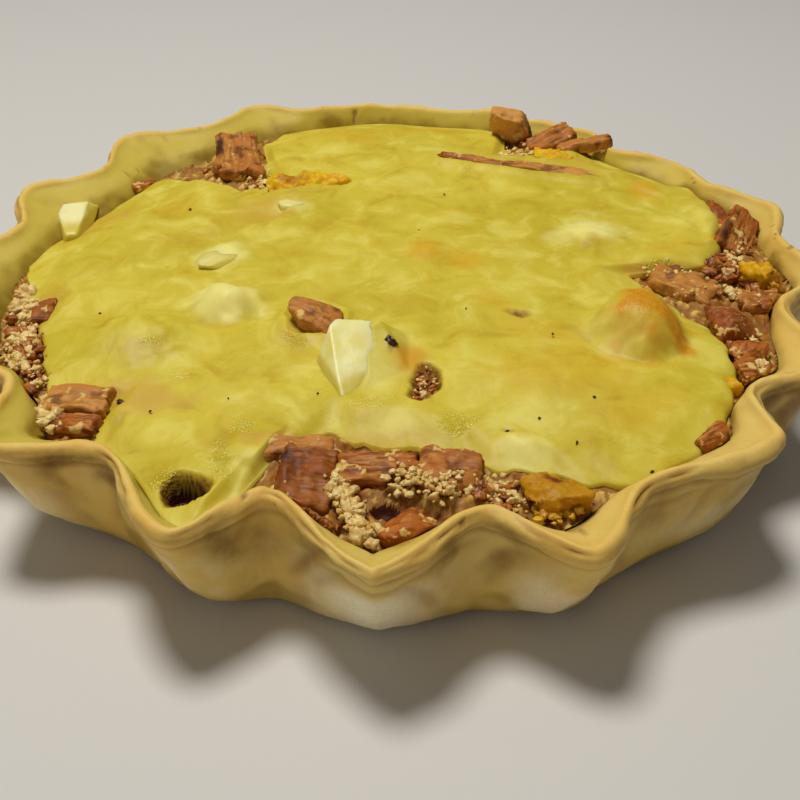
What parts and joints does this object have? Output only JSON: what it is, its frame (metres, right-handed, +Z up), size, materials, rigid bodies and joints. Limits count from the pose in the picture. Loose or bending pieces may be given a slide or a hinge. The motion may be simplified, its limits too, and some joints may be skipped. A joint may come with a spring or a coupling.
{
  "type": "ham and cheese tart",
  "caption": "Open round tart in a hand-folded pastry case, with a savoury filling under melted cheese and chopped ham and egg standing out of it.",
  "frame": {"origin": "on the flat underside, below the middle of the case", "axes": "+Z up out of the open top, -Y towards the side that the picture shows nearest, +X to its right"},
  "size_m": [0.2427, 0.2419, 0.0445],
  "materials": {
    "dough": "matte",
    "filling": "satin",
    "cheese": "gloss",
    "ham": "satin",
    "egg": "gloss",
    "yolk": "satin"
  },
  "bodies": {
    "root": {"crust": "dough", "filling": "filling", "cheese": "cheese", "ham_middle": "ham", "ham_rear_chunk": "ham", "ham_rear_crumb": "ham", "ham_right_dice": "ham", "ham_right_low": "ham", "ham_right_string": "ham", "ham_left_shred": "ham", "ham_front_tip": "ham", "ham_front_shred": "ham", "ham_rear_left": "ham", "ham_rear_strip_inner": "ham", "ham_rear_strip_outer": "ham", "ham_long_strip": "ham", "ham_right_rear": "ham", "ham_right_upright": "ham", "ham_right_slab": "ham", "ham_right_outer": "ham", "ham_left_upper": "ham", "ham_left_lower": "ham", "ham_front_strip": "ham", "ham_front_left": "ham", "ham_front_middle": "ham", "ham_front_right": "ham", "egg_middle": "egg", "egg_small": "egg", "egg_rear": "egg", "egg_left": "egg", "yolk_rear": "yolk", "yolk_rear_right": "yolk", "yolk_right": "yolk", "yolk_right_low": "yolk", "yolk_front": "yolk"}
  },
  "joints": []
}
